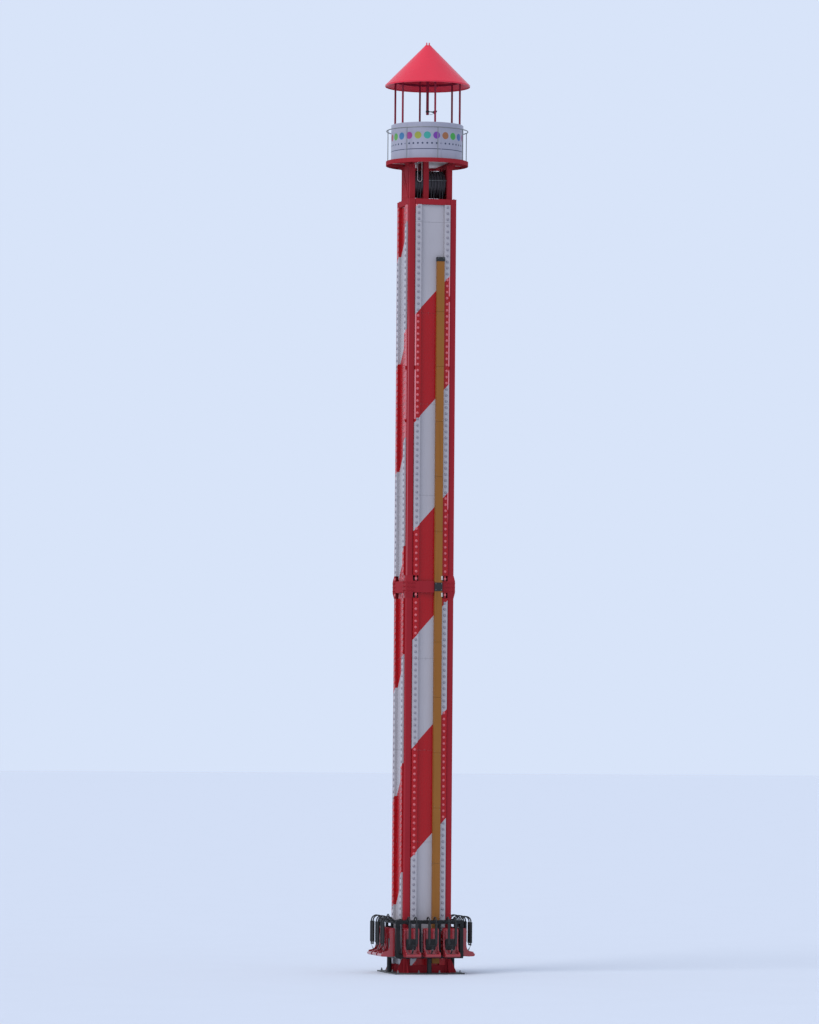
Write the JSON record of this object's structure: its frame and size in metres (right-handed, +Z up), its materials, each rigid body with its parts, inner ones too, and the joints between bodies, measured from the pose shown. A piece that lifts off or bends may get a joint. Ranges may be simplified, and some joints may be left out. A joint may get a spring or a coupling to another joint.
{
  "type": "drop tower ride",
  "caption": "Square red and white striped drop tower with a parked ring of seats, a rope head, a round gallery and a conical lantern roof.",
  "frame": {"origin": "centre of the underside of the base plate, on the foundation", "axes": "+Z up along the mast, -Y towards the face with the cable channel, +X to the right of that face"},
  "size_m": [3.18, 3.18, 30.698],
  "materials": {
    "foundation_steel": "satin",
    "column_red": "gloss",
    "sheet_red": "gloss",
    "sheet_white": "gloss",
    "rail_steel": "satin",
    "channel_yellow": "satin",
    "trim_black": "matte",
    "sheave_dark": "matte",
    "shaft_steel": "satin",
    "rope_steel": "satin",
    "deck_cream": "satin",
    "drum_white": "satin",
    "galvanised": "satin",
    "roof_red": "gloss",
    "lantern_red": "satin",
    "lamp_grey": "satin",
    "carriage_grey": "satin",
    "roller_black": "matte",
    "buffer_black": "matte",
    "seat_red": "gloss",
    "restraint_black": "matte"
  },
  "bodies": {
    "root": {"base_plate": "foundation_steel", "base_frame": "column_red", "lower_columns": "column_red", "upper_columns": "column_red", "splice_collar": "column_red", "inner_rails": "rail_steel", "mast_top": "column_red", "front_red_sheets": "sheet_red", "front_white_sheets": "sheet_white", "right_red_sheets": "sheet_red", "right_white_sheets": "sheet_white", "back_red_sheets": "sheet_red", "back_white_sheets": "sheet_white", "left_red_sheets": "sheet_red", "left_white_sheets": "sheet_white", "red_lamp_trays": "sheet_red", "white_lamp_trays": "sheet_white", "cable_channel": "channel_yellow", "channel_fittings": "trim_black", "head_frame": "column_red", "sheaves": "sheave_dark", "sheave_shaft": "shaft_steel", "bearing_stands": "column_red", "hoist_ropes": "rope_steel", "gallery_rim": "column_red", "gallery_deck": "deck_cream", "deck_beams": "column_red", "sign_drum": "drum_white", "guard_rail": "galvanised", "lantern_posts": "lantern_red", "roof_cone": "roof_red", "roof_frame": "lantern_red", "roof_crown": "roof_red", "flood_lamp": "lamp_grey", "carriage_frame": "carriage_grey", "guide_rollers": "roller_black", "buffers": "buffer_black", "front_seats": "seat_red", "right_seats": "seat_red", "back_seats": "seat_red", "left_seats": "seat_red", "front_restraints": "restraint_black", "right_restraints": "restraint_black", "back_restraints": "restraint_black", "left_restraints": "restraint_black"}
  },
  "joints": []
}
